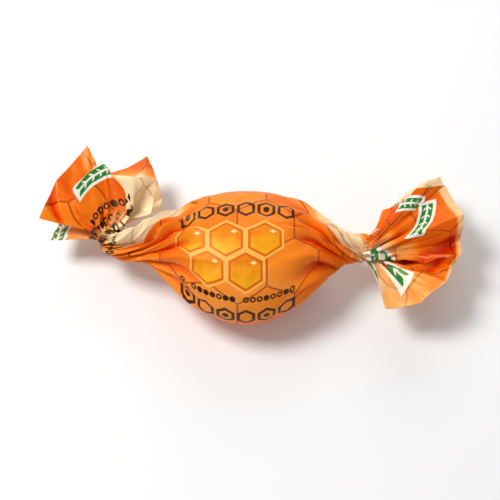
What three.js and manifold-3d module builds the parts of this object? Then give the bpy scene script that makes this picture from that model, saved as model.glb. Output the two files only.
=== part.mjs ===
// A hard candy in a double-twist film wrapper, lying on its flat side with the printed face up.
// The wrapper is shut, so candy and film are one solid: a lemon-shaped body, pleated towards both
// tips, a twisted neck at each end and a folded fan of film beyond each neck.
// Millimetres, +X along the candy, +Y to the back, +Z up; the origin is the middle of the small flat
// that the body rests on.

import * as THREE from "three";
import { mergeVertices } from "three/addons/utils/BufferGeometryUtils.js";
import Module from "manifold-3d";

// Driving dimensions of the body, an oval candy under taut film.
const BODY = { halfWidth: 9.1, halfThickness: 5.8, domeHalfLength: 10.2, restingFlatDepth: 0.2 };

// Pleats that the film gathers into between the candy's shoulders and the necks: how many, how deep as a
// share of the section's radius, and how far a crest leans over. Two waves round the body make one
// pleat wider and deeper than the next.
const PLEATS = {
  count: 12,
  depthShare: 0.2,
  lean: 0.1,
  widthWaves: [
    { times: 2, shift: 0.1, phase: 1 },
    { times: 5, shift: 0.06, phase: 2 },
  ],
  depthWave: { times: 3, share: 0.2, phase: 0.5 },
};

// The film runs a little over once round the body; its free edge is a step along the back.
const FILM = { freeEdgeAngle: 40, turns: 1.16, seamStep: 0.25 };

// The film of the fans: its drawn thickness at the neck and further out, how far it stays gathered past
// the neck's end, how far before that end it starts, how close to the neck's middle its two edges are
// there, the length over which it flares out of the neck, and how far a facet bows between its folds, as
// a share of its width.
const FAN = {
  rootThickness: 0.15,
  thickness: 0.4,
  gatherLength: 1.4,
  rootDepth: 1,
  rootShares: [0.85, 0.35],
  flareLength: 3,
  bowShare: 0.08,
};

// How far each end is twisted, and from which distance along the cones.
const TWIST = { turns: 0.5, start: 7.8 };

// The body's tips lie a little behind and above the candy's own axis. Each neck leaves its tip along that
// axis, bends at its corner and ends where its fan opens.
// A fan is given along the film's cut edge, fold by fold: bearing is the direction of a fold in plan,
// in degrees from +X towards +Y, reach its distance from the neck's end, lift its height above it and
// swell how far its middle bends out clockwise, where the fold isn't straight.
const LEFT_END = {
  side: -1,
  tip: 13.4,
  tipShift: [0, 0.8, 0.4],
  radius: 1.75,
  corner: [-16.8, 1.2, 0.4],
  end: [-18.0, 3.0, 0.5],
  folds: [
    { bearing: 156, reach: 7.6, lift: -1.8 },
    { bearing: 126, reach: 9.0, lift: -2.6 },
    { bearing: 93, reach: 9.8, lift: -1.0 },
    { bearing: 68, reach: 12.8, lift: 0.0 },
    { bearing: 44, reach: 9.4, lift: -2.0 },
    { bearing: 20, reach: 6.0, lift: 1.6 },
    { bearing: 46, reach: 9.2, lift: 3.0 },
    { bearing: 84, reach: 6.3, lift: 4.4, swell: 2.8 },
    { bearing: 95, reach: 8.6, lift: 4.2, swell: 0.8 },
    { bearing: 133, reach: 6.3, lift: 4.2, swell: -0.8 },
    { bearing: 133, reach: 6.2, lift: 3.0 },
    { bearing: 90, reach: 8.0, lift: 2.0 },
    { bearing: 97, reach: 8.0, lift: 0.8 },
    { bearing: 104, reach: 12.8, lift: 1.8 },
    { bearing: 133, reach: 10.0, lift: 1.6 },
    { bearing: 168, reach: 9.1, lift: 0.8 },
  ],
};
const RIGHT_END = {
  side: 1,
  tip: 13.4,
  tipShift: [0, 1.0, 0.5],
  radius: 1.85,
  corner: [14.6, 1.2, 0.6],
  end: [15.5, 0.9, 0.7],
  folds: [
    { bearing: -70, reach: 7.1, lift: -2.4 },
    { bearing: -40, reach: 8.9, lift: -3.0 },
    { bearing: -12, reach: 10.8, lift: -1.6 },
    { bearing: 23, reach: 14.0, lift: -2.2 },
    { bearing: 47, reach: 15.0, lift: -0.4 },
    { bearing: 62, reach: 7.6, lift: -1.6 },
    { bearing: 65, reach: 5.6, lift: 0.7 },
    { bearing: 48, reach: 9.9, lift: 2.6 },
    { bearing: 39, reach: 13.5, lift: 1.5 },
    { bearing: 16, reach: 13.0, lift: 2.5 },
    { bearing: 4, reach: 12.3, lift: 0.1 },
    { bearing: -9, reach: 12.0, lift: 1.7 },
    { bearing: -13, reach: 11.3, lift: 0.1 },
    { bearing: -31, reach: 11.3, lift: 1.9 },
    { bearing: -52, reach: 10.5, lift: 0.9 },
    { bearing: -76, reach: 8.7, lift: -0.4 },
  ],
};

// How finely the surfaces are cut.
const MESH = {
  pointsPerPleat: 5,
  bodyStations: 15,
  neckStep: 0.45,
  gatherStations: 3,
  fanRows: 7,
  facetColumns: 2,
  mergeDistance: 1e-3,
};

// How far a fold's edge may reach past the film's own thickness, as the cosine of half its turn.
const SHARPEST_FOLD = 0.6;

const TAU = 2 * Math.PI;
const AXIS_HEIGHT = BODY.halfThickness - BODY.restingFlatDepth;

const radians = THREE.MathUtils.degToRad;
const vector = ([x, y, z]) => new THREE.Vector3(x, y, z);

const wasm = await Module();
wasm.setup();

// A closed geometry as a solid that can be joined and cut, its points merged where they all but touch.
function solidOf(geometry) {
  const bare = new THREE.BufferGeometry().setIndex(geometry.index);
  bare.setAttribute("position", geometry.getAttribute("position"));
  const merged = mergeVertices(bare.toNonIndexed(), MESH.mergeDistance);
  const vertProperties = merged.getAttribute("position").array;
  const triVerts = new Uint32Array(merged.index.array);
  return new wasm.Manifold(new wasm.Mesh({ numProp: 3, vertProperties, triVerts }));
}

// The largest body of a solid: fusing layers of film can seal a pocket or cut off a scrap.
function largestBody(solid) {
  const bodies = solid.decompose();
  return bodies.reduce((best, body) => (body.volume() > best.volume() ? body : best));
}

function geometryOf(solid) {
  const mesh = solid.getMesh();
  return new THREE.BufferGeometry()
    .setAttribute("position", new THREE.BufferAttribute(mesh.vertProperties, 3))
    .setIndex(new THREE.BufferAttribute(mesh.triVerts, 1));
}

// A closed skin over rings that have one even number of points each, capped across both ends. Each
// ring runs anticlockwise as seen from the rings that follow it.
function loft(rings) {
  const count = rings[0].length;
  const last = (rings.length - 1) * count;
  const faces = [];
  for (let start = 0; start < last; start += count) {
    for (let i = 0; i < count; i++) {
      const a = start + i;
      const b = start + ((i + 1) % count);
      faces.push(a, b, b + count, a, b + count, a + count);
    }
  }
  for (let i = 0; i < count / 2 - 1; i++) {
    const across = count - 1 - i;
    faces.push(i, across, across - 1, i, across - 1, i + 1);
    faces.push(last + i, last + across - 1, last + across, last + i, last + i + 1, last + across - 1);
  }
  return new THREE.BufferGeometry().setFromPoints(rings.flat()).setIndex(faces);
}

// Where the body's dome goes over into the cone that is tangent to it and ends at the tip.
const shoulderDistance = (end) => BODY.domeHalfLength ** 2 / end.tip;

// How full the body is at a distance from its middle, from 1 there to 0 at its tip: the dome's ellipse,
// then the straight cone.
function fullness(distance, end) {
  const shoulder = shoulderDistance(end);
  const ellipse = Math.sqrt(1 - (Math.min(distance, shoulder) / BODY.domeHalfLength) ** 2);
  return distance < shoulder ? ellipse : Math.max(0, (ellipse * (end.tip - distance)) / (end.tip - shoulder));
}

function neckPath(end) {
  const start = vector(end.tipShift).setX(end.side * end.tip);
  return new THREE.QuadraticBezierCurve3(start, vector(end.corner), vector(end.end));
}

const neckEndDistance = (end) => end.tip + neckPath(end).getLength();

// Centre and axes of the wrapper's section at a distance from its middle, along the body, then along the
// bent neck and straight on past its end.
function sectionFrame(end, distance) {
  const straight = new THREE.Vector3(end.side, 0, 0);
  const shifted = THREE.MathUtils.smoothstep(distance, 0, end.tip);
  let centre = straight.clone().multiplyScalar(distance).addScaledVector(vector(end.tipShift), shifted);
  let tangent = straight;
  if (distance > end.tip) {
    const length = neckEndDistance(end);
    const share = Math.min(1, (distance - end.tip) / (length - end.tip));
    tangent = neckPath(end).getTangent(share);
    centre = neckPath(end).getPoint(share).addScaledVector(tangent, Math.max(0, distance - length));
  }
  centre.z += AXIS_HEIGHT;
  const bend = new THREE.Quaternion().setFromUnitVectors(straight, tangent);
  const across = new THREE.Vector3(0, 1, 0).applyQuaternion(bend);
  const up = new THREE.Vector3(0, 0, 1).applyQuaternion(bend);
  return { centre, across, up, tangent };
}

// Angle round the wrapper of a place q on the film, in radians; the film is gathered a little unevenly.
function filmAngle(q) {
  const shifts = PLEATS.widthWaves.map(({ times, shift, phase }) => shift * Math.sin(times * q + phase));
  return shifts.reduce((angle, shift) => angle + shift, q);
}

// Height of the pleats at a place on the film, from -1 in a round valley to 1 on a sharp ridge.
function pleatHeight(q) {
  const { times, share, phase } = PLEATS.depthWave;
  const strength = 1 - share + share * Math.sin(times * q + phase);
  return strength * (1 - 2 * Math.abs(Math.sin((PLEATS.count * q) / 2)));
}

// The film's free edge stands one step proud of the layer under it, and the step dies away all round.
function seamLift(q) {
  const pastEdge = THREE.MathUtils.euclideanModulo(filmAngle(q) - radians(FILM.freeEdgeAngle), TAU);
  return FILM.seamStep * (1 - pastEdge / TAU);
}

// A point of the wrapper at a distance from its middle and a place q on the film. The pleats start halfway
// to the shoulder.
function wrapperPoint(end, distance, q, shrink = 1) {
  const { centre, across, up } = sectionFrame(end, distance);
  const full = fullness(distance, end);
  const halfSpan = (half) => Math.sqrt(THREE.MathUtils.lerp(end.radius ** 2, half ** 2, full ** 2));
  const width = halfSpan(BODY.halfWidth);
  const thickness = halfSpan(BODY.halfThickness);
  const coneMiddle = (shoulderDistance(end) + end.tip) / 2;
  const gathered = THREE.MathUtils.smoothstep(distance, shoulderDistance(end) / 2, coneMiddle);
  const depth = PLEATS.depthShare * gathered;
  const lean = PLEATS.lean * depth * Math.sin(PLEATS.count * q);
  const twisted = Math.max(0, Math.min(1, (distance - TWIST.start) / (neckEndDistance(end) - TWIST.start)));
  const angle = filmAngle(q) + TWIST.turns * TAU * twisted ** 2 + lean;
  const scale = shrink * (1 + shrink * depth * pleatHeight(q));
  const step = seamLift(q) * full;
  return centre
    .addScaledVector(across, (width * scale + step) * Math.cos(angle))
    .addScaledVector(up, (thickness * scale + step) * Math.sin(angle));
}

// Where the wrapper's sections are taken at one end, each with its distance from the middle and how far
// it shrinks. The last ones round off the gathered film past the neck.
function sectionPlaces(end) {
  const length = neckEndDistance(end);
  const neckStations = Math.ceil((length - end.tip) / MESH.neckStep);
  const places = [];
  for (let i = end.side > 0 ? 0 : 1; i < MESH.bodyStations; i++)
    places.push([end.tip * Math.sin(((i / MESH.bodyStations) * TAU) / 4), 1]);
  for (let i = 0; i <= neckStations; i++)
    places.push([THREE.MathUtils.lerp(end.tip, length, i / neckStations), 1]);
  for (let i = 1; i <= MESH.gatherStations; i++) {
    const angle = ((i / (MESH.gatherStations + 1)) * TAU) / 4;
    places.push([length + FAN.gatherLength * Math.sin(angle), Math.cos(angle)]);
  }
  return places;
}

// The body and both necks as one skin, from the left fan to the right one.
function bodyAndNecks() {
  const count = PLEATS.count * MESH.pointsPerPleat;
  const film = Array.from({ length: count }, (_, i) => (i * TAU) / count);
  const ringsOf = (end) =>
    sectionPlaces(end).map(([distance, shrink]) => film.map((q) => wrapperPoint(end, distance, q, shrink)));
  return loft([...ringsOf(LEFT_END).reverse(), ...ringsOf(RIGHT_END)]);
}

// Where a fold meets the film's cut edge.
function foldCorner(end, { bearing, reach, lift }) {
  const along = new THREE.Vector3(reach, 0, AXIS_HEIGHT + lift);
  return along.applyAxisAngle(new THREE.Vector3(0, 0, 1), radians(bearing)).add(vector(end.end));
}

// The film of a fan as rows of points, from inside the neck out to the cut edge.
function fanRows(end) {
  const corners = end.folds.map((fold) => foldCorner(end, fold));
  const widths = corners.slice(1).map((corner, k) => corner.distanceTo(corners[k]));
  const cutEdge = widths.reduce((sum, width) => sum + width);
  const start = neckEndDistance(end) - FAN.rootDepth;
  const { tangent } = sectionFrame(end, start);
  const rows = Array.from({ length: MESH.fanRows + 1 }, () => []);
  let passed = 0;
  widths.forEach((width, facet) => {
    const lastColumn = facet === widths.length - 1 ? 1 : 0;
    for (let column = 0; column < MESH.facetColumns + lastColumn; column++) {
      const across = column / MESH.facetColumns;
      const share = (passed + width * across) / cutEdge;
      const q = radians(FILM.freeEdgeAngle) + share * FILM.turns * TAU;
      const root = wrapperPoint(end, start, q, THREE.MathUtils.lerp(...FAN.rootShares, share));
      const chord = corners[facet + 1].clone().sub(corners[facet]);
      const edge = corners[facet].clone().addScaledVector(chord, across);
      const run = edge.clone().sub(root);
      const bow = chord.clone().cross(run).setLength((facet % 2 ? 1 : -1) * FAN.bowShare * width);
      edge.addScaledVector(bow, Math.sin(Math.PI * across));
      const [swell, nextSwell] = [end.folds[facet].swell ?? 0, end.folds[facet + 1].swell ?? 0];
      const aside = new THREE.Vector3(run.y, -run.x, 0).setLength(1);
      aside.multiplyScalar((4 / 3) * THREE.MathUtils.lerp(swell, nextSwell, across));
      const flare = root.clone().addScaledVector(tangent, FAN.flareLength / 3).add(aside);
      const arrival = edge.clone().addScaledVector(run, -1 / 3).add(aside);
      const generator = new THREE.CubicBezierCurve3(root, flare, arrival, edge);
      rows.forEach((row, i) => row.push(generator.getPoint(i / MESH.fanRows)));
    }
    passed += width;
  });
  return rows;
}

// Half the film's thickness at a point of the fan's grid, across the film. At a fold it lies halfway
// between the two facets and is a little longer, so that they keep their thickness.
function halfThickness(rows, row, column) {
  const points = rows[row];
  const stretches = [column - 1, column]
    .filter((first) => first >= 0 && first + 1 < points.length)
    .map((first) => points[first + 1].clone().sub(points[first]).normalize());
  const sideways = stretches.reduce((sum, stretch) => sum.add(stretch), new THREE.Vector3());
  const opening = Math.max(sideways.length() / stretches.length, SHARPEST_FOLD);
  const [inner, outer] = [Math.max(row - 1, 0), Math.min(row + 1, rows.length - 1)];
  const outward = rows[outer][column].clone().sub(rows[inner][column]);
  const grown = Math.min(1, (3 * row) / MESH.fanRows);
  const thickness = THREE.MathUtils.lerp(FAN.rootThickness, FAN.thickness, grown);
  return sideways.cross(outward).setLength(thickness / 2 / opening);
}

// The film of a fan as closed plates, one for each facet. Both faces of a plate are split into triangles
// alike, and neighbours meet in one wall through their fold.
function fanPlates(end) {
  const rows = fanRows(end);
  const columns = rows[0].length;
  const under = rows.length * columns;
  const layer = (side) =>
    rows.flatMap((points, row) =>
      points.map((point, column) => point.clone().addScaledVector(halfThickness(rows, row, column), side)),
    );
  const points = [...layer(1), ...layer(-1)];
  const plates = [];
  for (let first = 0; first + 1 < columns; first += MESH.facetColumns) {
    const last = first + MESH.facetColumns;
    const skin = [];
    for (let row = 0; row + 1 < rows.length; row++) {
      for (let a = row * columns + first; a < row * columns + last; a++) {
        const d = a + columns;
        skin.push(a, a + 1, d + 1, a, d + 1, d);
        skin.push(a + under, d + 1 + under, a + 1 + under, a + under, d + under, d + 1 + under);
      }
    }
    const rim = rimOf(rows.length, columns, first, last);
    rim.forEach((a, i) => {
      const b = rim[(i + 1) % rim.length];
      if (a < b) skin.push(b, a, a + under, b, a + under, b + under);
      else skin.push(b, a, b + under, a, a + under, b + under);
    });
    plates.push(new THREE.BufferGeometry().setFromPoints(points).setIndex(skin));
  }
  return plates;
}

// The points round a stretch of a grid, anticlockwise: first row, last column, last row, first column.
function rimOf(rowCount, columns, first, last) {
  const rim = [];
  for (let column = first; column < last; column++) rim.push(column);
  for (let row = 0; row < rowCount - 1; row++) rim.push(row * columns + last);
  for (let column = last; column > first; column--) rim.push((rowCount - 1) * columns + column);
  for (let row = rowCount - 1; row > 0; row--) rim.push(row * columns + first);
  return rim;
}

// Everything below the plane that the candy rests on.
function belowRest() {
  const size = 100;
  return new THREE.BoxGeometry(size, size, size).translate(0, 0, -size / 2);
}

function wrappedCandy() {
  const pieces = [bodyAndNecks(), ...fanPlates(LEFT_END), ...fanPlates(RIGHT_END)];
  const joined = pieces.map(solidOf).reduce((whole, piece) => whole.add(piece));
  const fused = largestBody(joined.subtract(solidOf(belowRest())));
  const clean = largestBody(solidOf(geometryOf(fused)));
  const film = new THREE.MeshStandardMaterial({ color: 0xf07f2c, roughness: 0.35, metalness: 0 });
  const mesh = new THREE.Mesh(geometryOf(clean), film);
  mesh.name = "wrapped_candy";
  return mesh;
}

const part = new THREE.Group();
part.add(wrappedCandy());

export default part;
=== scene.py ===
"""The looks of a hard candy in a double-twist wrapper of thin printed film.

The film is one sheet. It runs a little over once round the candy, is pleated towards both tips, twisted
into a neck at each end and spread into a folded fan beyond each neck. Its shape comes from the same
named sizes and functions as the solid's, with finer pleats and creases on top. A place on the sheet has
two coordinates in millimetres: u along the candy from its middle, and v round it from the film's free
edge. The print is drawn in them.
"""

from types import SimpleNamespace

import bpy
import numpy as np
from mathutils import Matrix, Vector


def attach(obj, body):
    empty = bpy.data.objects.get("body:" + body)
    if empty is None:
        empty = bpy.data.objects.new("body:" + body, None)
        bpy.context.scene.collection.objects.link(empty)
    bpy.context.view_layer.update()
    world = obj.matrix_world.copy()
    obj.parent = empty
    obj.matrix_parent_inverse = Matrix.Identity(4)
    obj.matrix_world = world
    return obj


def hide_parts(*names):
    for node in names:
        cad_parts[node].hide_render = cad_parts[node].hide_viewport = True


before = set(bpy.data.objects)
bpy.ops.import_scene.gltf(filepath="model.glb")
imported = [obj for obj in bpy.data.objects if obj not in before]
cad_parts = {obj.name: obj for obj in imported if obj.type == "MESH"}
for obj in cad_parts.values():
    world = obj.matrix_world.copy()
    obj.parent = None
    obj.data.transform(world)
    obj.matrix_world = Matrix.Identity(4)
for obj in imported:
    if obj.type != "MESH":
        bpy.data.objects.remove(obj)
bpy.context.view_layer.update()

TAU = 2 * np.pi
MM = 0.001

# Sizes that the solid has too, in millimetres, degrees and turns. Only the left fan's first fold differs:
# it lies further round here, so that the lowest layer of film shows.
BODY = SimpleNamespace(half_width=9.1, half_thickness=5.8, dome_half_length=10.2, flat_depth=0.2)
AXIS_HEIGHT = BODY.half_thickness - BODY.flat_depth
PLEATS = SimpleNamespace(
    count=12,
    depth_share=0.2,
    lean=0.1,
    width_waves=((2, 0.1, 1), (5, 0.06, 2)),
    depth_wave=(3, 0.2, 0.5),
)
FILM = SimpleNamespace(free_edge_angle=40, turns=1.16, seam_step=0.25, thickness=0.09)
TWIST = SimpleNamespace(turns=0.5, start=7.8)
FAN = SimpleNamespace(flare_length=3, bow_share=0.08)

# A fan's folds along the film's cut edge: bearing in plan, reach from the neck's end, lift above it and how
# far the fold's middle swells out clockwise. Tones are the facets' colours between the folds, from 0 for
# deep orange to 1 for cream. Tucks are long sharp valleys in a fan: v at the neck's end, its change for
# each millimetre outwards, depth, half width, and the stretch from and to which the valley runs. Valleys
# run along the body into the neck: place in turns, half width in turns, depth as a share of the section's
# radius, and the distance at which they begin. The loose fold stands off the neck: place in turns at its
# middle, the place's change for each millimetre outwards, half width in turns, height, distance of its
# middle and half length. The pale rim is where the cut edge turns over: it starts at the first v with the
# width given and runs out at the second.
LEFT_END = SimpleNamespace(
    side=-1,
    tip=13.4,
    tip_shift=(0, 0.8, 0.4),
    radius=1.75,
    corner=(-16.8, 1.2, 0.4),
    end=(-18.0, 3.0, 0.5),
    folds=(
        (180, 7.8, -1.6, 0),
        (126, 9.0, -2.6, 0),
        (93, 9.8, -1.0, 0),
        (68, 12.8, 0.0, 0),
        (44, 9.4, -2.0, 0),
        (20, 6.0, 1.6, 0),
        (46, 9.2, 3.0, 0),
        (84, 6.3, 4.4, 2.8),
        (95, 8.6, 4.2, 0.8),
        (133, 6.3, 4.2, -0.8),
        (133, 6.2, 3.0, 0),
        (90, 8.0, 2.0, 0),
        (97, 8.0, 0.8, 0),
        (104, 12.8, 1.8, 0),
        (133, 10.0, 1.6, 0),
        (168, 9.1, 0.8, 0),
    ),
    tones=(0.5, 0.4, 0.12, 0.12, 0.8, 1.0, 1.0, 0.12, 0.18, 0.2, 0.3, 0.3, 0.14, 0.17, 0.24),
    tucks=((58.6, -0.58, 0.9, 0.7, 5, 14), (49.5, 0.1, 0.4, 0.8, 0, 7), (35.2, -0.2, 0.4, 0.7, 0, 5)),
    valleys=((0.08, 0.02, 0.2, 6), (0.19, 0.02, 0.16, 6), (0.31, 0.024, 0.2, 5), (0.4, 0.02, 0.14, 6)),
    loose_fold=(0.924, -0.03, 0.08, 2.4, 12.9, 4.6),
    pale_rim=(19, 25.7, 0.5),
    seed=3,
)
RIGHT_END = SimpleNamespace(
    side=1,
    tip=13.4,
    tip_shift=(0, 1.0, 0.5),
    radius=1.85,
    corner=(14.6, 1.2, 0.6),
    end=(15.5, 0.9, 0.7),
    folds=(
        (-70, 7.1, -2.4, 0),
        (-40, 8.9, -3.0, 0),
        (-12, 10.8, -1.6, 0),
        (23, 14.0, -2.2, 0),
        (47, 15.0, -0.4, 0),
        (62, 7.6, -1.6, 0),
        (65, 5.6, 0.7, 0),
        (48, 9.9, 2.6, 0),
        (39, 13.5, 1.5, 0),
        (16, 13.0, 2.5, 0),
        (4, 12.3, 0.1, 0),
        (-9, 12.0, 1.7, 0),
        (-13, 11.3, 0.1, 0),
        (-31, 11.3, 1.9, 0),
        (-52, 10.5, 0.9, 0),
        (-76, 8.7, -0.4, 0),
    ),
    tones=(0.5, 0.4, 0.5, 0.95, 0.9, 0.5, 0.15, 0.2, 0.2, 0.12, 0.08, 0.12, 0.25, 0.48, 0.54),
    tucks=(
        (48.5, -0.42, 1.0, 1.1, 1.5, 15),
        (53.0, -0.72, 0.7, 1.0, 4, 13),
        (35.3, 0, 0.5, 0.7, 0, 6),
        (38.3, 0, 0.7, 0.8, 0, 8),
        (41.6, 0.05, 0.6, 0.7, 0, 6),
    ),
    valleys=(
        (0.068, 0.016, 0.28, 5.2),
        (0.025, 0.01, 0.16, 4.5),
        (0.12, 0.01, 0.1, 5),
        (0.17, 0.014, 0.16, 5),
        (0.25, 0.015, 0.14, 6.5),
        (0.285, 0.01, 0.12, 7),
        (0.34, 0.016, 0.16, 5),
    ),
    loose_fold=(0.935, -0.06, 0.07, 0.9, 11.8, 4),
    pale_rim=(35.5, 52, 1.3),
    seed=11,
)

# Sizes of the film's finer shape. Spiral shares are the layers' distances from the neck's middle, at the
# free edge and at the film's inner end; the layers wind apart between two places given from the tip. The
# free edge is lifted over a half width in turns, and the lift grows between two distances. The ridges'
# height is a share of the section's radius. Valleys and tucks deepen, and tucks run out, over the lengths
# given. Depths are measured in steps of the full fold, for the painted shade in valleys. The rim that is
# turned over has a tone of its own.
FINE = SimpleNamespace(
    spiral_shares=(1.0, 0.6),
    winding=(-2, 1),
    edge_lift=0.2,
    edge_half_width=0.012,
    edge_growth=(1, 6),
    ridge_share=0.1,
    valley_rise=4,
    tuck_rise=2,
    tuck_fall=4,
    full_fold=0.5,
    rim_tone=0.8,
    rim_softness=0.1,
    sharp_angle=50,
)

# Rows and columns of the sheets. A fan's columns are a step apart at its cut edge.
GRID = SimpleNamespace(
    body_columns=292,
    body_rows=96,
    neck_rows=36,
    fan_rows=69,
    fan_step=0.16,
    fewest_columns=4,
)

# Random ridges, creases and pleats: their number, and what their sizes are drawn from. The ridges' half
# widths and slants are in turns. The body's wrinkles are creases at a share of their height.
RIDGES = SimpleNamespace(count=60, half_widths=(0.007, 0.035), slant=0.006, starts=(3.5, 10.5), rise=3.5)
CREASES = SimpleNamespace(slant=0.5, half_lengths=(1.2, 5), half_widths=(0.35, 1.3), height=0.25)
FAN_CREASES = SimpleNamespace(count=90, reach=12, growth=(1, 4))
WRINKLES = SimpleNamespace(count=150, reach=15, share=0.7, seed=29)
FAN_PLEATS = SimpleNamespace(count=60, half_widths=(0.4, 1.3), steepness=0.8, fades=(3, 12), drift=0.06)


def lerp(a, b, share):
    return a + (b - a) * share


def smoothstep(value, low, high):
    share = np.clip((value - low) / (high - low), 0, 1)
    return share * share * (3 - 2 * share)


def unit(vectors):
    return vectors / np.maximum(np.linalg.norm(vectors, axis=-1, keepdims=True), 1e-9)


def film_length(points):
    """Length along a row of points, from its first point."""
    return np.concatenate([[0], np.cumsum(np.linalg.norm(np.diff(points, axis=0), axis=1))])


def neck_path(end, share):
    """Points and tangents of the bent neck."""
    first = np.array([end.side * end.tip, 0, 0]) + end.tip_shift
    second, third = np.array(end.corner), np.array(end.end)
    t = np.asarray(share)[..., None]
    points = (1 - t) ** 2 * first + 2 * t * (1 - t) * second + t**2 * third
    return points, unit((1 - t) * (second - first) + t * (third - second))


def neck_end_distance(end):
    points, _ = neck_path(end, np.linspace(0, 1, 201))
    return end.tip + film_length(points)[-1]


def shoulder_distance(end):
    """Where a straight cone to the tip leaves the elliptical body without a break."""
    return BODY.dome_half_length**2 / end.tip


def fullness(distance, end):
    """How full the section is, from 1 at the body's middle to 0 at the tip: an ellipse, then a cone."""
    shoulder = shoulder_distance(end)
    ellipse = np.sqrt(1 - (np.minimum(distance, shoulder) / BODY.dome_half_length) ** 2)
    cone = ellipse * (end.tip - distance) / (end.tip - shoulder)
    return np.where(distance < shoulder, ellipse, np.maximum(0, cone))


def section_frame(end, distance):
    """Centre, axes and tangent of the wrapper's sections at distances from its middle."""
    straight = np.array([end.side, 0.0, 0.0])
    length = neck_end_distance(end)
    share = np.clip((distance - end.tip) / (length - end.tip), 0, 1)
    bent, tangent = neck_path(end, share)
    on_neck = (distance > end.tip)[..., None]
    tangent = np.where(on_neck, tangent, straight)
    shifted = smoothstep(distance, 0, end.tip)[..., None]
    beyond = np.maximum(0, distance - length)[..., None]
    on_body = straight * distance[..., None] + np.array(end.tip_shift) * shifted
    centre = np.where(on_neck, bent + tangent * beyond, on_body) + np.array([0, 0, AXIS_HEIGHT])
    # The shortest turn from the straight direction to the tangent, applied to the section's axes.
    axis = np.cross(straight, tangent)
    cosine = (tangent @ straight)[..., None]

    def turned(vector):
        along_axis = axis * (axis @ vector)[..., None] / (1 + cosine)
        return vector * cosine + np.cross(axis, vector) + along_axis

    return centre, turned(np.array([0.0, 1, 0])), turned(np.array([0.0, 0, 1])), tangent


def film_angle(q):
    """Angle round the section of a place on the film. It makes some pleats wider than others."""
    return q + sum(shift * np.sin(times * q + phase) for times, shift, phase in PLEATS.width_waves)


def pleat_height(q):
    """Height of the pleats, from 1 on their sharp backs to -1 between them. Some are shallower."""
    times, share, phase = PLEATS.depth_wave
    strength = 1 - share + share * np.sin(times * q + phase)
    return strength * (1 - 2 * np.abs(np.sin(PLEATS.count * q / 2)))


def fine_ridges(turn, distance, end):
    """Height of small sharp ridges and valleys that run along the film, from about -1 to 1. They lie alike
    in layers that overlap."""
    random = np.random.default_rng(end.seed)
    height = np.zeros(np.broadcast(turn, distance).shape)
    narrowest, widest = RIDGES.half_widths
    for _ in range(RIDGES.count):
        place = random.uniform(0, 1)
        half_width = narrowest * (widest / narrowest) ** random.uniform(0, 1)
        slant = random.uniform(-RIDGES.slant, RIDGES.slant)
        start = random.uniform(*RIDGES.starts)
        strength = random.uniform(-1, 1)
        offset = turn - place - slant * (distance - end.tip)
        offset = np.abs(offset - np.round(offset)) / half_width
        height += strength * np.maximum(0, 1 - offset) * smoothstep(distance, start, start + RIDGES.rise)
    return height


def pleat_depth(end, distance):
    """Depth of the pleats as a share of the section's radius. It grows from the body into the neck."""
    shoulder = shoulder_distance(end)
    return PLEATS.depth_share * smoothstep(distance, shoulder / 2, (shoulder + end.tip) / 2)


def body_relief(end, distance, turn):
    """Height of the wrapper's pleats, ridges and valleys, as a share of the section's radius."""
    q = np.radians(FILM.free_edge_angle) + turn * TAU
    height = pleat_depth(end, distance) * pleat_height(q)
    height = height + FINE.ridge_share * fine_ridges(turn, distance, end)
    for place, half_width, share, start in end.valleys:
        aside = turn - place
        aside = np.abs(aside - np.round(aside)) / half_width
        deepened = smoothstep(distance, start, start + FINE.valley_rise)
        height = height - share * np.maximum(0, 1 - aside) * deepened
    return height


def loose_height(end, distance, turn):
    """How far the loose fold of film stands off the neck, in millimetres."""
    middle, drift, half_width, height, middle_distance, half_length = end.loose_fold
    aside = turn - middle - drift * (distance - middle_distance)
    aside = (aside - np.round(aside)) / half_width
    along = np.maximum(0, 1 - ((distance - middle_distance) / half_length) ** 2)
    return height * along**1.5 * np.sqrt(np.maximum(0, 1 - aside**2))


def half_span(end, half_size, full):
    """Half the size of a section of some fullness, from half the size of the widest section."""
    return np.sqrt(lerp(end.radius**2, half_size**2, full**2))


def wrapper_point(end, distance, turn):
    """Points of the wrapper at distances from its middle and places on the film, in turns."""
    q = np.radians(FILM.free_edge_angle) + turn * TAU
    centre, across, up, _ = section_frame(end, distance)
    full = fullness(distance, end)
    lean = PLEATS.lean * pleat_depth(end, distance) * np.sin(PLEATS.count * q)
    twisted = np.clip((distance - TWIST.start) / (neck_end_distance(end) - TWIST.start), 0, 1)
    angle = film_angle(q) + TWIST.turns * TAU * twisted**2 + lean
    spiral = lerp(*FINE.spiral_shares, turn / FILM.turns)
    wound = lerp(1, spiral, smoothstep(distance - end.tip, *FINE.winding))
    near_edge = np.exp(-((turn / FINE.edge_half_width) ** 2))
    lifted = FINE.edge_lift * near_edge * smoothstep(distance, *FINE.edge_growth)
    step = (FILM.seam_step * (1 - turn) + lifted) * full + loose_height(end, distance, turn)
    scale = wound * (1 + body_relief(end, distance, turn))
    wide = half_span(end, BODY.half_width, full) * scale + step
    high = half_span(end, BODY.half_thickness, full) * scale + step
    return centre + across * (wide * np.cos(angle))[..., None] + up * (high * np.sin(angle))[..., None]


# v of a place on the film, from its turns: the distance round the widest section.
TURNS = np.linspace(0, FILM.turns, 400)
ROUND = film_length(wrapper_point(RIGHT_END, np.zeros_like(TURNS), TURNS))
FILM_WIDTH = ROUND[-1]


def v_of(turn):
    return np.interp(turn, TURNS, ROUND)


def u_of(end, distance):
    """Distance along the film from the wrapper's middle, on a meridian of middling size."""
    places = np.linspace(0, neck_end_distance(end), 300)
    middling = 0.5 * (BODY.half_width + BODY.half_thickness)
    radius = half_span(end, middling, fullness(places, end))
    return np.interp(distance, places, film_length(np.stack([places, radius], axis=1)))


def out_of_neck(end, u):
    """Distance along the film out from the neck's end, which is below zero on the body's side of it."""
    return end.side * u - u_of(end, neck_end_distance(end))


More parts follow.
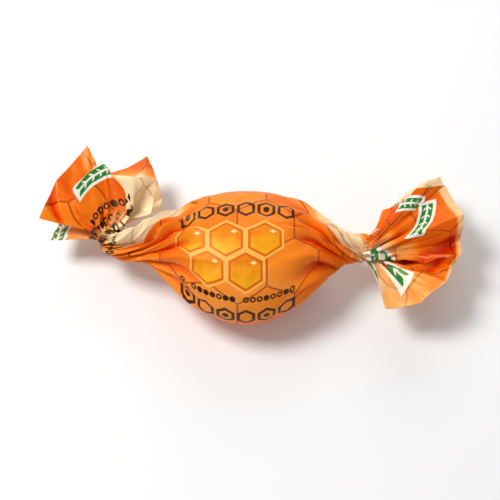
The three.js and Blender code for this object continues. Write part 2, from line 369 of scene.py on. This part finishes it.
def creases(along, around, seed, count, reach):
    """Height of straight creases with sharp backs, at random places all round the film and from 0 to a
    reach along it. Most of them run along it, and some run aslant."""
    random = np.random.default_rng(seed)
    height = np.zeros(np.broadcast(along, around).shape)
    for _ in range(count):
        place = random.uniform(0, 1, 2) * (reach, FILM_WIDTH)
        slant = random.normal(0, CREASES.slant)
        half_length = random.uniform(*CREASES.half_lengths)
        half_width = random.uniform(*CREASES.half_widths)
        strength = random.uniform(-CREASES.height, CREASES.height)
        ahead = (along - place[0]) * np.cos(slant) + (around - place[1]) * np.sin(slant)
        aside = (around - place[1]) * np.cos(slant) - (along - place[0]) * np.sin(slant)
        faded = np.maximum(0, 1 - (ahead / half_length) ** 2) ** 1.5
        height += strength * np.maximum(0, 1 - np.abs(aside) / half_width) * faded
    return height


def radial_pleats(out, v, gathered, seed):
    """Height of the narrow pleats that a fan's film keeps from the neck. They are as deep as film gathered
    to a share of its width needs, and die away outwards."""
    random = np.random.default_rng(seed)
    height = np.zeros(out.shape)
    for _ in range(FAN_PLEATS.count):
        place = random.uniform(0, FILM_WIDTH)
        half_width = random.uniform(*FAN_PLEATS.half_widths)
        strength = random.uniform(-FAN_PLEATS.steepness, FAN_PLEATS.steepness)
        fade = random.uniform(*FAN_PLEATS.fades)
        offset = np.abs(v - place - random.normal(0, FAN_PLEATS.drift) * out) / half_width
        height += strength * half_width * np.maximum(0, 1 - offset) * np.exp(-out / fade)
    return height * np.sqrt(1 - np.minimum(gathered, 1) ** 2) * smoothstep(out, 0, 1)


def tuck_depth(out, v, end):
    """Height of a fan's long valleys, which is below zero in them."""
    height = np.zeros(out.shape)
    for root_v, drift, depth, half_width, start, stop in end.tucks:
        offset = np.abs(v - root_v - drift * out) / half_width
        begun = smoothstep(out, start, start + FINE.tuck_rise)
        ended = smoothstep(out, stop - FINE.tuck_fall, stop)
        height -= depth * np.maximum(0, 1 - offset) * (begun * (1 - ended))
    return height


def normals_of(points):
    return unit(np.cross(np.gradient(points, axis=0), np.gradient(points, axis=1)))


def fold_corners(end):
    """Where a fan's folds meet the cut edge, from the neck's end."""
    bearing, reach, lift, _ = np.array(end.folds, float).T
    heading = np.radians(bearing)
    return np.stack([reach * np.cos(heading), reach * np.sin(heading), lift], axis=1)


def facet_places(widths):
    """For places at even steps along a fan's facets: the facet, and the share of its width before it."""
    counts = np.maximum(GRID.fewest_columns, np.ceil(widths / GRID.fan_step)).astype(int)
    facet = np.concatenate([np.repeat(np.arange(len(widths)), counts), [len(widths) - 1]])
    across = np.concatenate([np.arange(n) / n for n in counts] + [[1.0]])
    return facet, across


def fan_surface(end):
    """A fan's smooth facets as rows of points from the neck's end out to the cut edge, and the turns of
    each column. A column without a swell is a cubic curve that leaves the neck along its tangent and arrives
    at the edge on a straight run. A swell moves its two inner points, and its middle by three quarters of
    that."""
    corners = fold_corners(end) + end.end + [0, 0, AXIS_HEIGHT]
    swell = np.array(end.folds)[:, 3]
    widths = np.linalg.norm(np.diff(corners, axis=0), axis=1)
    facet, across = facet_places(widths)
    share = (np.concatenate([[0], np.cumsum(widths)])[facet] + widths[facet] * across) / widths.sum()
    turn = share * FILM.turns
    length = neck_end_distance(end)
    root = wrapper_point(end, np.full_like(turn, length), turn)
    chord = corners[facet + 1] - corners[facet]
    edge = corners[facet] + chord * across[:, None]
    run = edge - root
    bow = np.where(facet % 2, 1, -1) * FAN.bow_share * widths[facet] * np.sin(np.pi * across)
    edge = edge + unit(np.cross(chord, run)) * bow[:, None]
    tangent = section_frame(end, np.array([length]))[3]
    swelling = lerp(swell[facet], swell[facet + 1], across) * 4 / 3
    aside = unit(np.stack([run[:, 1], -run[:, 0], 0 * swelling], axis=1)) * swelling[:, None]
    flare = root + tangent * FAN.flare_length / 3 + aside
    arrival = edge - run / 3 + aside
    t = np.linspace(0, 1, GRID.fan_rows + 1)[:, None, None]
    points = (1 - t) ** 3 * root + 3 * t * (1 - t) ** 2 * flare + 3 * t**2 * (1 - t) * arrival + t**3 * edge
    return points, turn


def fan_sheet(end):
    """A fan's pleated and creased film, with the tone and the relief of each point."""
    points, turn = fan_surface(end)
    steps = np.linalg.norm(np.diff(points, axis=0), axis=2)
    out = np.concatenate([np.zeros((1, len(turn))), np.cumsum(steps, axis=0)])
    u = end.side * (u_of(end, neck_end_distance(end)) + out)
    v = np.broadcast_to(v_of(turn), out.shape)
    gathered = np.linalg.norm(np.gradient(points, axis=1), axis=2) / np.gradient(v, axis=1)
    relief = radial_pleats(out, v, gathered, end.seed + 1) + tuck_depth(out, v, end)
    creased = creases(out, v, end.seed + 2, FAN_CREASES.count, FAN_CREASES.reach)
    relief = relief + creased * smoothstep(out, *FAN_CREASES.growth)
    points = points - normals_of(points) * (end.side * relief)[..., None]
    rim_start, rim_stop, rim_width = end.pale_rim
    width = rim_width * (rim_stop - v) / (rim_stop - rim_start) * (v > rim_start)
    on_rim = smoothstep(width - (out[-1] - out), -FINE.rim_softness, FINE.rim_softness)
    tone = lerp(tone_at(u, v), FINE.rim_tone, on_rim)
    return SimpleNamespace(points=points, u=u, v=v, tone=tone, relief=relief)


def body_sheet():
    """The film round the body and both necks, as rows of points from left to right. It lies flat where the
    candy rests, and its wrinkles lie alike in layers that overlap."""
    turn = np.linspace(0, FILM.turns, GRID.body_columns)[None, :]
    halves = []
    for end in (LEFT_END, RIGHT_END):
        on_body = end.tip * np.sin(np.linspace(0, TAU / 4, GRID.body_rows // 2, endpoint=False))
        on_neck = np.linspace(end.tip, neck_end_distance(end), GRID.neck_rows)
        distance = np.concatenate([on_body, on_neck])[:, None] + 0 * turn
        points = wrapper_point(end, distance, turn + 0 * distance)
        u = end.side * u_of(end, distance)
        full = fullness(distance, end)
        relief = body_relief(end, distance, turn) * lerp(end.radius, BODY.half_thickness, full)
        halves.append((points, u, np.broadcast_to(v_of(turn), u.shape), relief, full))
    points, u, v, relief, full = [np.concatenate([left[:0:-1], right]) for left, right in zip(*halves)]
    along, around = u + WRINKLES.reach, v_of(turn % 1)
    wrinkles = creases(along, around, WRINKLES.seed, WRINKLES.count, 2 * WRINKLES.reach)
    wrinkles = wrinkles * WRINKLES.share * full
    points = points + normals_of(points) * wrinkles[..., None]
    points[..., 2] = np.maximum(points[..., 2], FILM.thickness / 2)
    return SimpleNamespace(points=points, u=u, v=v, tone=tone_at(u, v), relief=relief)


# How far from a fold one facet's tone changes to the next one's, and how far beyond the tip the body's
# tones change to the facets'.
TONE_CHANGE = SimpleNamespace(at_fold=0.3, past_tip=4)

# The print's tones on the body, as soft round fields: middle u and v, half sizes and tone.
BODY_TONES = (
    (0, 1, 14, 2.5, 0.3),
    (-2, 8, 9, 4.0, 0.28),
    (-4, 17, 12, 4.0, 0.42),
    (9, 12, 4, 6.0, 0.2),
    (0, 24, 14, 3.5, 0.15),
    (0, 34, 12, 6.0, 0.85),
    (0, 46, 9, 5.0, 0.3),
    (-15, 46, 4, 4.0, 1.1),
    (14, 45, 3.5, 4.0, 1.05),
    (-13, 6, 3, 5.0, 0.2),
)

# Patches of tone on the fans and necks: end, middle in v, distance out from the neck's end, half sizes and
# tone.
FAN_TONES = (
    (LEFT_END, 16, 7, 5.5, 2.4, 1.05),
    # The next patch is paler than the facets round it: a painted highlight on the left leaf's tip.
    (LEFT_END, 47.5, 9.5, 3, 3, 0.24),
    (LEFT_END, 44.5, -7, 4, 4, 1.1),
    (LEFT_END, 41.5, -3.4, 4.2, 2.5, 1.1),
    (LEFT_END, 36, -1, 3.5, 1.6, 0.95),
    (RIGHT_END, 38, 5.5, 2.5, 3, 0.2),
    (RIGHT_END, 38, -2, 6, 2.5, 0.9),
    (RIGHT_END, 39.5, 2, 4, 2.2, 0.75),
    (RIGHT_END, 43.7, 4.4, 2, 2.6, 0.6),
    (RIGHT_END, 54.6, 3.4, 2, 2.6, 0.68),
    (RIGHT_END, 0.5, 2, 3, 4, 0.8),
)


def body_tone(u, v):
    """The mean of the body's fields, each with its weight at the place. No weight is quite 0, so that a far
    place has a mean too."""
    weights = weighted = 0
    for middle_u, middle_v, half_u, half_v, tone in BODY_TONES:
        weight = np.exp(-(((u - middle_u) / half_u) ** 2) - ((v - middle_v) / half_v) ** 2) + 1e-9
        weights, weighted = weights + weight, weighted + weight * tone
    return weighted / weights


def facet_tone(end, v):
    """The tone of the fan's facet at v."""
    along = film_length(fold_corners(end))
    folds = v_of(along / along[-1] * FILM.turns)
    knots = np.stack([folds[:-1] + TONE_CHANGE.at_fold, folds[1:] - TONE_CHANGE.at_fold], axis=1)
    return np.interp(v, knots.reshape(-1), np.repeat(end.tones, 2))


def tone_at(u, v):
    """The film's colour at a place, from 0 for deep orange to 1 for cream."""
    result = body_tone(u, v)
    for end in (LEFT_END, RIGHT_END):
        start = u_of(end, end.tip)
        past_tip = smoothstep(end.side * u, start, start + TONE_CHANGE.past_tip)
        result = lerp(result, facet_tone(end, v), past_tip)
    for end, middle_v, middle_out, half_v, half_out, tone in FAN_TONES:
        ahead = out_of_neck(end, u) - middle_out
        weight = np.exp(-((ahead / half_out) ** 4) - ((v - middle_v) / half_v) ** 4)
        result = lerp(result, tone, weight)
    return result


# The print's tags: end, middle in v, distance out from the neck's end, angle and size.
TAGS = (
    (LEFT_END, 2.3, 6.2, 8, 1.05),
    (LEFT_END, 35.2, 7.4, -29, 0.92),
    (LEFT_END, 43, 6, 25, 1),
    (RIGHT_END, 1.4, 3.4, 80, 1.5),
    (RIGHT_END, 15, 6, 25, 1),
    (RIGHT_END, 24, 6.5, 25, 1),
    (RIGHT_END, 33.2, 8.2, 35, 1.1),
    (RIGHT_END, 38.3, 8.8, -38, 1.1),
    (RIGHT_END, 43.4, 1.8, 18, 1.4),
    (RIGHT_END, 51.1, 2.6, 84, 1.7),
)

# Corners of one face that lie further apart than the reach, in a tag's own sizes, belong to different tags.
# They are then put far off every tag.
TAG_REACH = 2
FAR_OFF = 99


def tag_offsets(u, v):
    """For each place the offset from the middle of the nearest of the print's tags, along and across it."""
    best = np.full(u.shape, np.inf)
    offsets = np.zeros((*u.shape, 2))
    for end, middle, out, angle, size in TAGS:
        ahead = out_of_neck(end, u) - out
        aside = v - middle
        turn = np.radians(angle)
        x = (aside * np.cos(turn) + ahead * np.sin(turn)) / size
        y = (ahead * np.cos(turn) - aside * np.sin(turn)) / size
        nearer = x**2 + y**2 < best
        best = np.where(nearer, x**2 + y**2, best)
        offsets[nearer] = np.stack([x, y], axis=-1)[nearer]
    return offsets


def face_tag_offsets(corner_u, corner_v):
    """The offsets from the nearest tag for the corners of faces."""
    middle = tag_offsets(corner_u.mean(axis=1), corner_v.mean(axis=1))
    offsets = tag_offsets(corner_u, corner_v)
    torn = np.abs(offsets - middle[:, None]).max(axis=(1, 2)) > TAG_REACH
    offsets[torn] = FAR_OFF
    return offsets


def closed_faces(rows, columns, outward):
    """The printed faces of a closed sheet over a grid, and its other faces: the inner ones and the rim's.
    The inner side's points are counted on from the printed side's."""
    under = rows * columns
    place = np.arange(under).reshape(rows, columns)
    a, b, c, d = place[:-1, :-1], place[:-1, 1:], place[1:, 1:], place[1:, :-1]
    printed = np.stack([a, d, c, b] if outward < 0 else [a, b, c, d], axis=-1).reshape(-1, 4)[:, ::-1]
    rim = np.concatenate([place[0, :-1], place[:-1, -1], place[-1, :0:-1], place[:0:-1, 0]])
    following = np.roll(rim, -1)
    edge = np.stack([rim, following, following + under, rim + under], axis=-1)
    edge = edge if outward > 0 else edge[:, ::-1]
    return printed, np.concatenate([printed[:, ::-1] + under, edge])


def sheet_mesh(name, points, faces, kinds):
    """A mesh of four-sided faces, from points in millimetres and each face's material."""
    mesh = bpy.data.meshes.new(name)
    mesh.vertices.add(points.size // 3)
    mesh.vertices.foreach_set("co", (points * MM).reshape(-1).astype(np.float32))
    mesh.loops.add(faces.size)
    mesh.loops.foreach_set("vertex_index", faces.reshape(-1).astype(np.int32))
    mesh.polygons.add(len(faces))
    mesh.polygons.foreach_set("loop_start", np.arange(0, faces.size, 4, dtype=np.int32))
    mesh.polygons.foreach_set("material_index", kinds.astype(np.int32))
    mesh.update(calc_edges=True)
    return mesh


def sheet_piece(name, sheet, outward):
    """A thin closed sheet over a grid of points: the printed face, the inner face and the rim."""
    printed, plain = closed_faces(*sheet.u.shape, outward)
    faces = np.concatenate([printed, plain])
    lift = normals_of(sheet.points) * outward * FILM.thickness / 2
    both = np.concatenate([sheet.points + lift, sheet.points - lift])
    mesh = sheet_mesh(name, both, faces, np.repeat([0, 1], [len(printed), len(plain)]))
    corner_u, corner_v = (np.tile(field.reshape(-1), 2)[faces] for field in (sheet.u, sheet.v))
    film = np.stack([corner_u, corner_v], axis=-1)
    for label, values in (("film", film), ("tag", face_tag_offsets(corner_u, corner_v))):
        mesh.uv_layers.new(name=label).data.foreach_set("uv", values.reshape(-1).astype(np.float32))
    # The fold attribute holds each point's depth, from which the material paints shade in valleys.
    fold = sheet.relief / FINE.full_fold
    for label, outer, inner in (("tone", sheet.tone, sheet.tone), ("fold", fold, -fold)):
        values = np.concatenate([outer.reshape(-1), inner.reshape(-1)])
        mesh.attributes.new(label, "FLOAT", "POINT").data.foreach_set("value", values.astype(np.float32))
    mesh.polygons.foreach_set("use_smooth", np.ones(len(faces), bool))
    mesh.set_sharp_from_angle(angle=np.radians(FINE.sharp_angle))
    mesh.validate()
    piece = bpy.data.objects.new(name, mesh)
    bpy.context.scene.collection.objects.link(piece)
    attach(piece, "root")
    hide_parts("wrapped_candy")
    return piece


def colour(red, green, blue):
    """A colour given as 0 to 255 on a screen, as the shader's linear colour."""
    share = np.array([red, green, blue]) / 255
    linear = np.where(share < 0.04045, share / 12.92, ((share + 0.055) / 1.055) ** 2.4)
    return (*linear, 1)


class Field:
    """A number or a colour that varies over the film, as a socket in a material's node tree."""

    def __init__(self, socket):
        self.socket = socket

    def node(self, kind):
        return self.socket.id_data.nodes.new(kind)

    def math(self, operation, *others):
        node = self.node("ShaderNodeMath")
        node.operation = operation
        for socket, value in zip(node.inputs, (self, *others)):
            put(value, socket)
        return Field(node.outputs[0])

    def __add__(self, other):
        return self.math("ADD", other)

    def __sub__(self, other):
        return self.math("SUBTRACT", other)

    def __mul__(self, other):
        return self.math("MULTIPLY", other)

    def __abs__(self):
        return self.math("ABSOLUTE")

    def most(self, other):
        return self.math("MAXIMUM", other)

    def wrapped(self, period):
        """The distance from the nearest multiple of a period, with its sign."""
        return self.math("WRAP", period / 2, -period / 2)

    def ramp(self, low, high):
        """0 at one value and 1 at another, straight between them and level beyond."""
        node = self.node("ShaderNodeMapRange")
        put(self, node.inputs["Value"])
        node.inputs["From Min"].default_value = low
        node.inputs["From Max"].default_value = high
        return Field(node.outputs[0])

    def below(self, limit, softness=0.04):
        """1 where the value is below a limit and 0 above it, with a soft change between."""
        return self.ramp(limit + softness, limit - softness)


def put(value, socket):
    """Links a field to a socket, or sets the socket's own value."""
    if isinstance(value, Field):
        value.socket.id_data.links.new(value.socket, socket)
    else:
        socket.default_value = value


def mixed(share, first, second, blend="MIX"):
    """The first colour where the share is 0, the second or its blend with the first where it is 1."""
    node = share.node("ShaderNodeMix")
    node.data_type = "RGBA"
    node.blend_type = blend
    put(share, node.inputs[0])
    put(first, node.inputs[6])
    put(second, node.inputs[7])
    return Field(node.outputs[2])


def graded(share, stops):
    """Colours along a share from 0 to 1, as pairs of a place and a colour."""
    node = share.node("ShaderNodeValToRGB")
    put(share, node.inputs[0])
    elements = node.color_ramp.elements
    while len(elements) < len(stops):
        elements.new(0.5)
    for element, (place, value) in zip(elements, stops):
        element.position = place
        element.color = value
    return Field(node.outputs[0])


def joined(x, y):
    join = x.node("ShaderNodeCombineXYZ")
    put(x, join.inputs[0])
    put(y, join.inputs[1])
    return Field(join.outputs[0])


def speckle(x, y):
    """A random number from 0 to 1 for each pair of whole numbers."""
    noise = x.node("ShaderNodeTexWhiteNoise")
    noise.noise_dimensions = "2D"
    put(joined(x, y), noise.inputs["Vector"])
    return Field(noise.outputs["Value"])


def cloud(x, y, scale, detail=2):
    """Smooth random patches from 0 to 1, of a size in millimetres."""
    noise = x.node("ShaderNodeTexNoise")
    noise.inputs["Scale"].default_value = 1 / scale
    noise.inputs["Detail"].default_value = detail
    put(joined(x, y), noise.inputs["Vector"])
    return Field(noise.outputs[0])


def hexagon(x, y):
    """How far out a place is from the middle of an upright hexagon, measured squarely to its sides."""
    return abs(x).most(abs(x) * 0.5 + abs(y) * (3**0.5 / 2))


def honeycomb(u, v, pitch):
    """For a honeycomb of upright cells: the offset from the nearest cell's middle, how far out in the
    cell that is, on a scale that reaches half the pitch at its sides, and the cell's column and row."""
    tall = pitch * 3**0.5
    first_u, first_v = u.wrapped(pitch), v.wrapped(tall)
    second_u, second_v = (u - pitch / 2).wrapped(pitch), (v - tall / 2).wrapped(tall)
    first = first_u * first_u + first_v * first_v
    nearer = first.math("LESS_THAN", second_u * second_u + second_v * second_v)
    across = second_u + (first_u - second_u) * nearer
    along = second_v + (first_v - second_v) * nearer
    column = ((u - across) * (2 / pitch)).math("ROUND")
    row = ((v - along) * (2 / tall)).math("ROUND")
    return SimpleNamespace(across=across, along=along, out=hexagon(across, along), column=column, row=row)


# Small hexagons that stand for lines of small print, with sizes as shares of their pitch. Marks with a draw
# above one limit are open, and those with a draw below the other are left out. The draws are shifted, so
# that they aren't the ones that shade the wide honeycomb's cells.
MARK = SimpleNamespace(
    row_pitch=1.5,
    half_size=0.43,
    opening=0.18,
    open_above=0.5,
    left_out_below=0.1,
    draw_shift=40,
)


def rows_of_marks(along, across, pitch):
    """1 on rows of small hexagons and 0 elsewhere."""
    row_pitch = MARK.row_pitch * pitch
    x, y = along.wrapped(pitch), across.wrapped(row_pitch)
    column = ((along - x) * (1 / pitch)).math("ROUND")
    row = ((across - y) * (1 / row_pitch)).math("ROUND")
    draw = speckle(column, row + MARK.draw_shift)
    out = hexagon(x, y)
    opening = out.below(MARK.opening * pitch) * draw.math("GREATER_THAN", MARK.open_above)
    return (out.below(MARK.half_size * pitch) - opening) * draw.math("GREATER_THAN", MARK.left_out_below)


INK = SimpleNamespace(
    deep=colour(218, 72, 0),
    orange=colour(233, 99, 2),
    bright=colour(245, 131, 26),
    peach=colour(240, 158, 80),
    cream=colour(242, 213, 168),
    # The next colour is painted shade, not an ink: the film's colour is multiplied by it in valleys.
    painted_valley_shade=colour(236, 122, 80),
    line_on_orange=colour(158, 56, 4),
    line_on_cream=colour(204, 168, 124),
    gold_rim=colour(250, 178, 84),
    gold_edge=colour(214, 98, 0),
    gold_dark=colour(228, 124, 0),
    gold_light=colour(252, 194, 34),
    glint=colour(255, 240, 180),
    dark=colour(40, 20, 10),
    green=colour(10, 128, 48),
    white=colour(244, 240, 226),
    sheen=colour(255, 208, 140),
)

# The ground's colours by shade. The shade is the tone, changed by up to half these amounts from cell to
# cell and in clouds of this size.
GROUND = ((0.0, INK.deep), (0.15, INK.orange), (0.35, INK.bright), (0.6, INK.peach), (0.9, INK.cream))
SHADE = SimpleNamespace(cells=0.16, clouds=0.3, cloud_size=9)

# The print's marks on the film, in millimetres: middles in u and v, pitches, half sizes, and insets from a
# cell's sides. A line turns pale between two shades. The honey lightens along a cell by the slope, and in
# clouds. A tag's sizes and the rows of marks beside it are in the tag's own frame.
CELLS = SimpleNamespace(
    middle=(-1.1, -0.6),
    pitch=7.4,
    line_width=0.22,
    line_edge=(-0.04, 0.02),
    line_strength=0.8,
    pale_line=(0.4, 0.8),
)
GOLD = SimpleNamespace(
    middle=(-2.5, 8.1),
    pitch=4.9,
    rim_inset=0.3,
    edge_inset=0.62,
    slope=0.22,
    clouds=0.9,
    cloud_size=1.6,
    cloud_shift=30,
    darkened=0.2,
    glint=(1.0, -1.1),
    glint_size=0.4,
    glint_softness=0.15,
    glint_flatness=1.6,
    glint_strength=0.8,
)
RINGS = SimpleNamespace(rows=(3.4, 18.6), pitch=2.6, outer_inset=0.15, inner_insets=(0.57, 0.5), dot=0.38)
SMALL_LINE = SimpleNamespace(middle=(-1.275, 15.9), half=(7.65, 0.6), pitch=0.85)
CRUSHED_ROWS = SimpleNamespace(u=-19.6, half_width=1.7, pitch=1.1)
TAG_ROWS = SimpleNamespace(middle=(0.6, -6.1), half=(4.6, 2.6), pitch=1.15)
TAG = SimpleNamespace(
    half=(2.9, 1.1),
    slant=0.3,
    rim=0.38,
    sprig_margin=0.6,
    stem_half_width=0.14,
    leaf_half_width=0.13,
    leaf_pitch=1.1,
    leaf_slant=0.8,
)


def ground_colour(u, v, tone):
    """Orange to cream, a little uneven, under a wide honeycomb of thin lines."""
    cells = honeycomb(u - CELLS.middle[0], v - CELLS.middle[1], CELLS.pitch)
    own = speckle(cells.column, cells.row)
    shade = tone + (own - 0.5) * SHADE.cells + (cloud(u, v, SHADE.cloud_size) - 0.5) * SHADE.clouds
    line = mixed(shade.ramp(*CELLS.pale_line), INK.line_on_orange, INK.line_on_cream)
    side = CELLS.pitch / 2 - CELLS.line_width / 2
    on_line = cells.out.ramp(side + CELLS.line_edge[0], side + CELLS.line_edge[1])
    return mixed(on_line * CELLS.line_strength, graded(shade, GROUND), line)


def with_golden_cells(u, v, result):
    """Five cells of honey, three in a row and two in the next, with a pale rim, a dark edge and a glint."""
    cells = honeycomb(u - GOLD.middle[0], v - GOLD.middle[1], GOLD.pitch)
    three = abs(cells.row).below(0.5) * abs(cells.column).below(2.5)
    two = abs(cells.row - 1).below(0.5) * abs(cells.column).below(1.5)
    clouds = cloud(u, v + GOLD.cloud_shift, GOLD.cloud_size) * GOLD.clouds
    level = (cells.along * GOLD.slope + clouds - GOLD.darkened).ramp(0, 1)
    honey = mixed(level, INK.gold_dark, INK.gold_light)
    x, y = abs(cells.across - GOLD.glint[0]), abs(cells.along - GOLD.glint[1])
    glint = (x + y * GOLD.glint_flatness).below(GOLD.glint_size, GOLD.glint_softness)
    honey = mixed(glint * GOLD.glint_strength, honey, INK.glint)
    honey = mixed(cells.out.below(GOLD.pitch / 2 - GOLD.edge_inset), INK.gold_edge, honey)
    honey = mixed(cells.out.below(GOLD.pitch / 2 - GOLD.rim_inset), INK.gold_rim, honey)
    return mixed(three + two, result, honey)


def with_row_of_rings(u, v, result):
    """Six dark hexagon rings in a row along u, every other one with a dot in it."""
    across = u.wrapped(RINGS.pitch)
    out = hexagon(across, v)
    side = RINGS.pitch / 2
    start, full = RINGS.inner_insets
    ring = out.below(side - RINGS.outer_inset) * out.ramp(side - start, side - full)
    column = ((u - across) * (1 / RINGS.pitch)).math("ROUND")
    odd = column.math("FLOORED_MODULO", 2)
    six = abs(column + 0.5).below(2.8)
    return mixed((ring + out.below(RINGS.dot) * odd) * six, result, INK.dark)


def with_small_print(u, v, tag_x, tag_y, result):
    """Rows of marks: a line below the golden cells, rows that are crushed in the left neck, and rows beside
    the left fan's tags."""
    x, y = u - SMALL_LINE.middle[0], v - SMALL_LINE.middle[1]
    shown = abs(y).below(SMALL_LINE.half[1]) * abs(x).below(SMALL_LINE.half[0])
    result = mixed(rows_of_marks(u, y, SMALL_LINE.pitch) * shown, result, INK.dark)
    x = u - CRUSHED_ROWS.u
    shown = abs(x).below(CRUSHED_ROWS.half_width)
    result = mixed(rows_of_marks(v, x, CRUSHED_ROWS.pitch) * shown, result, INK.dark)
    x, y = tag_x - TAG_ROWS.middle[0], tag_y - TAG_ROWS.middle[1]
    shown = u.below(0) * abs(x).below(TAG_ROWS.half[0]) * abs(y).below(TAG_ROWS.half[1])
    return mixed(rows_of_marks(tag_x, y, TAG_ROWS.pitch) * shown, result, INK.dark)


def with_tags(x, y, result):
    """Slanted green tags with a white rim and a white sprig."""
    x = x + y * TAG.slant
    box = (abs(x) - TAG.half[0]).most(abs(y) - TAG.half[1])
    stem = abs(y).below(TAG.stem_half_width)
    leaves = abs((x - abs(y) * TAG.leaf_slant).wrapped(TAG.leaf_pitch)).below(TAG.leaf_half_width)
    sprig = stem.most(leaves) * abs(y).below(TAG.half[1] - TAG.sprig_margin)
    tag = mixed(sprig, INK.green, INK.white)
    tag = mixed(box.below(-TAG.rim), INK.white, tag)
    return mixed(box.below(0), result, tag)


def printed_colour(u, v, tag_x, tag_y, tone):
    """The print as a colour over the film."""
    result = with_golden_cells(u, v, ground_colour(u, v, tone))
    for row in RINGS.rows:
        result = with_row_of_rings(u, v - row, result)
    result = with_small_print(u, v, tag_x, tag_y, result)
    return with_tags(tag_x, tag_y, result)


# Valleys get painted shade, a deep red multiplied into the colour, between two depths, and less of it
# where the tone is pale. The film is gathered more and more between two distances from the middle, and is
# glossier and more streaky there. Streaks are cloudy patches that are stretched along u and packed along v.
# Bumps are in millimetres.
FINISH = SimpleNamespace(
    painted_shade_depths=(-0.3, -1.5),
    painted_shade_tones=(1.5, 0.4),
    painted_shade_strength=0.95,
    gathering=(8, 15),
    cloudy_roughness=0.16,
    gathered_gloss=0.12,
    streak_shares=(0.2, 1.5),
    streak_size=0.7,
    least_streaks=0.3,
    bump_strength=0.4,
    bump_height=0.12,
)


def film_material(name, faded, roughness):
    """Waxed film, printed on its outer face; on its duller inner face the print shows through."""
    material = bpy.data.materials.new(name)
    material.use_nodes = True
    nodes, links = material.node_tree.nodes, material.node_tree.links
    shader = nodes["Principled BSDF"]

    def place(layer):
        uv = nodes.new("ShaderNodeUVMap")
        uv.uv_map = layer
        split = nodes.new("ShaderNodeSeparateXYZ")
        links.new(uv.outputs[0], split.inputs[0])
        return Field(split.outputs[0]), Field(split.outputs[1])

    def stored(label):
        attribute = nodes.new("ShaderNodeAttribute")
        attribute.attribute_name = label
        return Field(attribute.outputs["Fac"])

    u, v = place("film")
    shown = printed_colour(u, v, *place("tag"), stored("tone"))
    if faded:
        share = nodes.new("ShaderNodeValue")
        share.outputs[0].default_value = faded
        shown = mixed(Field(share.outputs[0]), shown, INK.cream)
    # Painted shade: the colour is multiplied by a deep red in valleys, more as they deepen and less where
    # the tone is pale.
    deep = stored("fold").ramp(*FINISH.painted_shade_depths)
    shade_by_tone = stored("tone").ramp(*FINISH.painted_shade_tones)
    shown = mixed(deep * shade_by_tone * FINISH.painted_shade_strength, shown, INK.painted_valley_shade, "MULTIPLY")
    put(shown, shader.inputs["Base Color"])
    put(INK.sheen, shader.inputs["Specular Tint"])
    gathered = abs(u).ramp(*FINISH.gathering)
    rough = cloud(u, v, 3) * FINISH.cloudy_roughness + roughness - gathered * FINISH.gathered_gloss
    put(rough, shader.inputs["Roughness"])
    streaks = cloud(u * FINISH.streak_shares[0], v * FINISH.streak_shares[1], FINISH.streak_size)
    streaks = streaks * (gathered + FINISH.least_streaks)
    bump = nodes.new("ShaderNodeBump")
    bump.inputs["Strength"].default_value = FINISH.bump_strength
    bump.inputs["Distance"].default_value = FINISH.bump_height * MM
    put(cloud(u, v, 0.9, 3) + streaks, bump.inputs["Height"])
    links.new(bump.outputs[0], shader.inputs["Normal"])
    return material


pieces = [
    sheet_piece("film_body", body_sheet(), outward=-1),
    sheet_piece("film_left_fan", fan_sheet(LEFT_END), outward=1),
    sheet_piece("film_right_fan", fan_sheet(RIGHT_END), outward=-1),
]
outer_film = film_material("printed_film", faded=0, roughness=0.36)
inner_film = film_material("film_inside", faded=0.06, roughness=0.5)
for piece in pieces:
    piece.data.materials.append(outer_film)
    piece.data.materials.append(inner_film)

scene = bpy.context.scene
scene.view_settings.view_transform = "Standard"

# The studio, in metres: a square floor, lamps and a camera with the photo's look down on the candy. The
# camera stands where the wrapper's reach fills its share of the frame.
FLOOR = SimpleNamespace(half_side=0.6, colour=(0.88, 0.88, 0.87, 1), roughness=0.7)
WORLD_STRENGTH = 0.34
CAMERA = SimpleNamespace(elevation=62, target=(0.0005, 0.001, 0.0055), lens=100, sensor=36, clip=(0.01, 10))
FRAMED = SimpleNamespace(reach=0.055, share=0.85)


def add_floor():
    mesh = bpy.data.meshes.new("floor")
    half = FLOOR.half_side
    corners = [(-half, -half, 0), (half, -half, 0), (half, half, 0), (-half, half, 0)]
    mesh.from_pydata(corners, [], [(0, 1, 2, 3)])
    floor = bpy.data.objects.new("floor", mesh)
    scene.collection.objects.link(floor)
    material = bpy.data.materials.new("floor")
    material.use_nodes = True
    shader = material.node_tree.nodes["Principled BSDF"]
    shader.inputs["Base Color"].default_value = FLOOR.colour
    shader.inputs["Roughness"].default_value = FLOOR.roughness
    mesh.materials.append(material)


def aimed(thing, place, target):
    """Puts a lamp or camera at a place and turns it to look at a target."""
    thing.location = place
    thing.rotation_mode = "QUATERNION"
    thing.rotation_quaternion = (Vector(target) - Vector(place)).to_track_quat("-Z", "Y")
    scene.collection.objects.link(thing)


def soft_light(name, place, size, power):
    light = bpy.data.lights.new(name, "AREA")
    light.size = size
    light.energy = power
    aimed(bpy.data.objects.new(name, light), place, (0, 0, 0))


def add_world():
    """Even white light from all round."""
    world = bpy.data.worlds.new("studio")
    world.use_nodes = True
    background = world.node_tree.nodes["Background"]
    background.inputs["Color"].default_value = (1, 1, 1, 1)
    background.inputs["Strength"].default_value = WORLD_STRENGTH
    scene.world = world


def add_camera():
    data = bpy.data.cameras.new("camera")
    data.lens = CAMERA.lens
    data.sensor_width = CAMERA.sensor
    data.clip_start, data.clip_end = CAMERA.clip
    camera = bpy.data.objects.new("camera", data)
    elevation = np.radians(CAMERA.elevation)
    target = np.array(CAMERA.target)
    distance = FRAMED.reach / FRAMED.share / (CAMERA.sensor / CAMERA.lens)
    aimed(camera, target + np.array([0, -np.cos(elevation), np.sin(elevation)]) * distance, target)
    scene.camera = camera


add_floor()
soft_light("key", (-0.14, 0.04, 0.24), size=0.1, power=0.62)
soft_light("fill", (0.22, -0.14, 0.14), size=0.2, power=0.1)
soft_light("back", (0.05, 0.26, 0.14), size=0.2, power=0.28)
add_world()
add_camera()
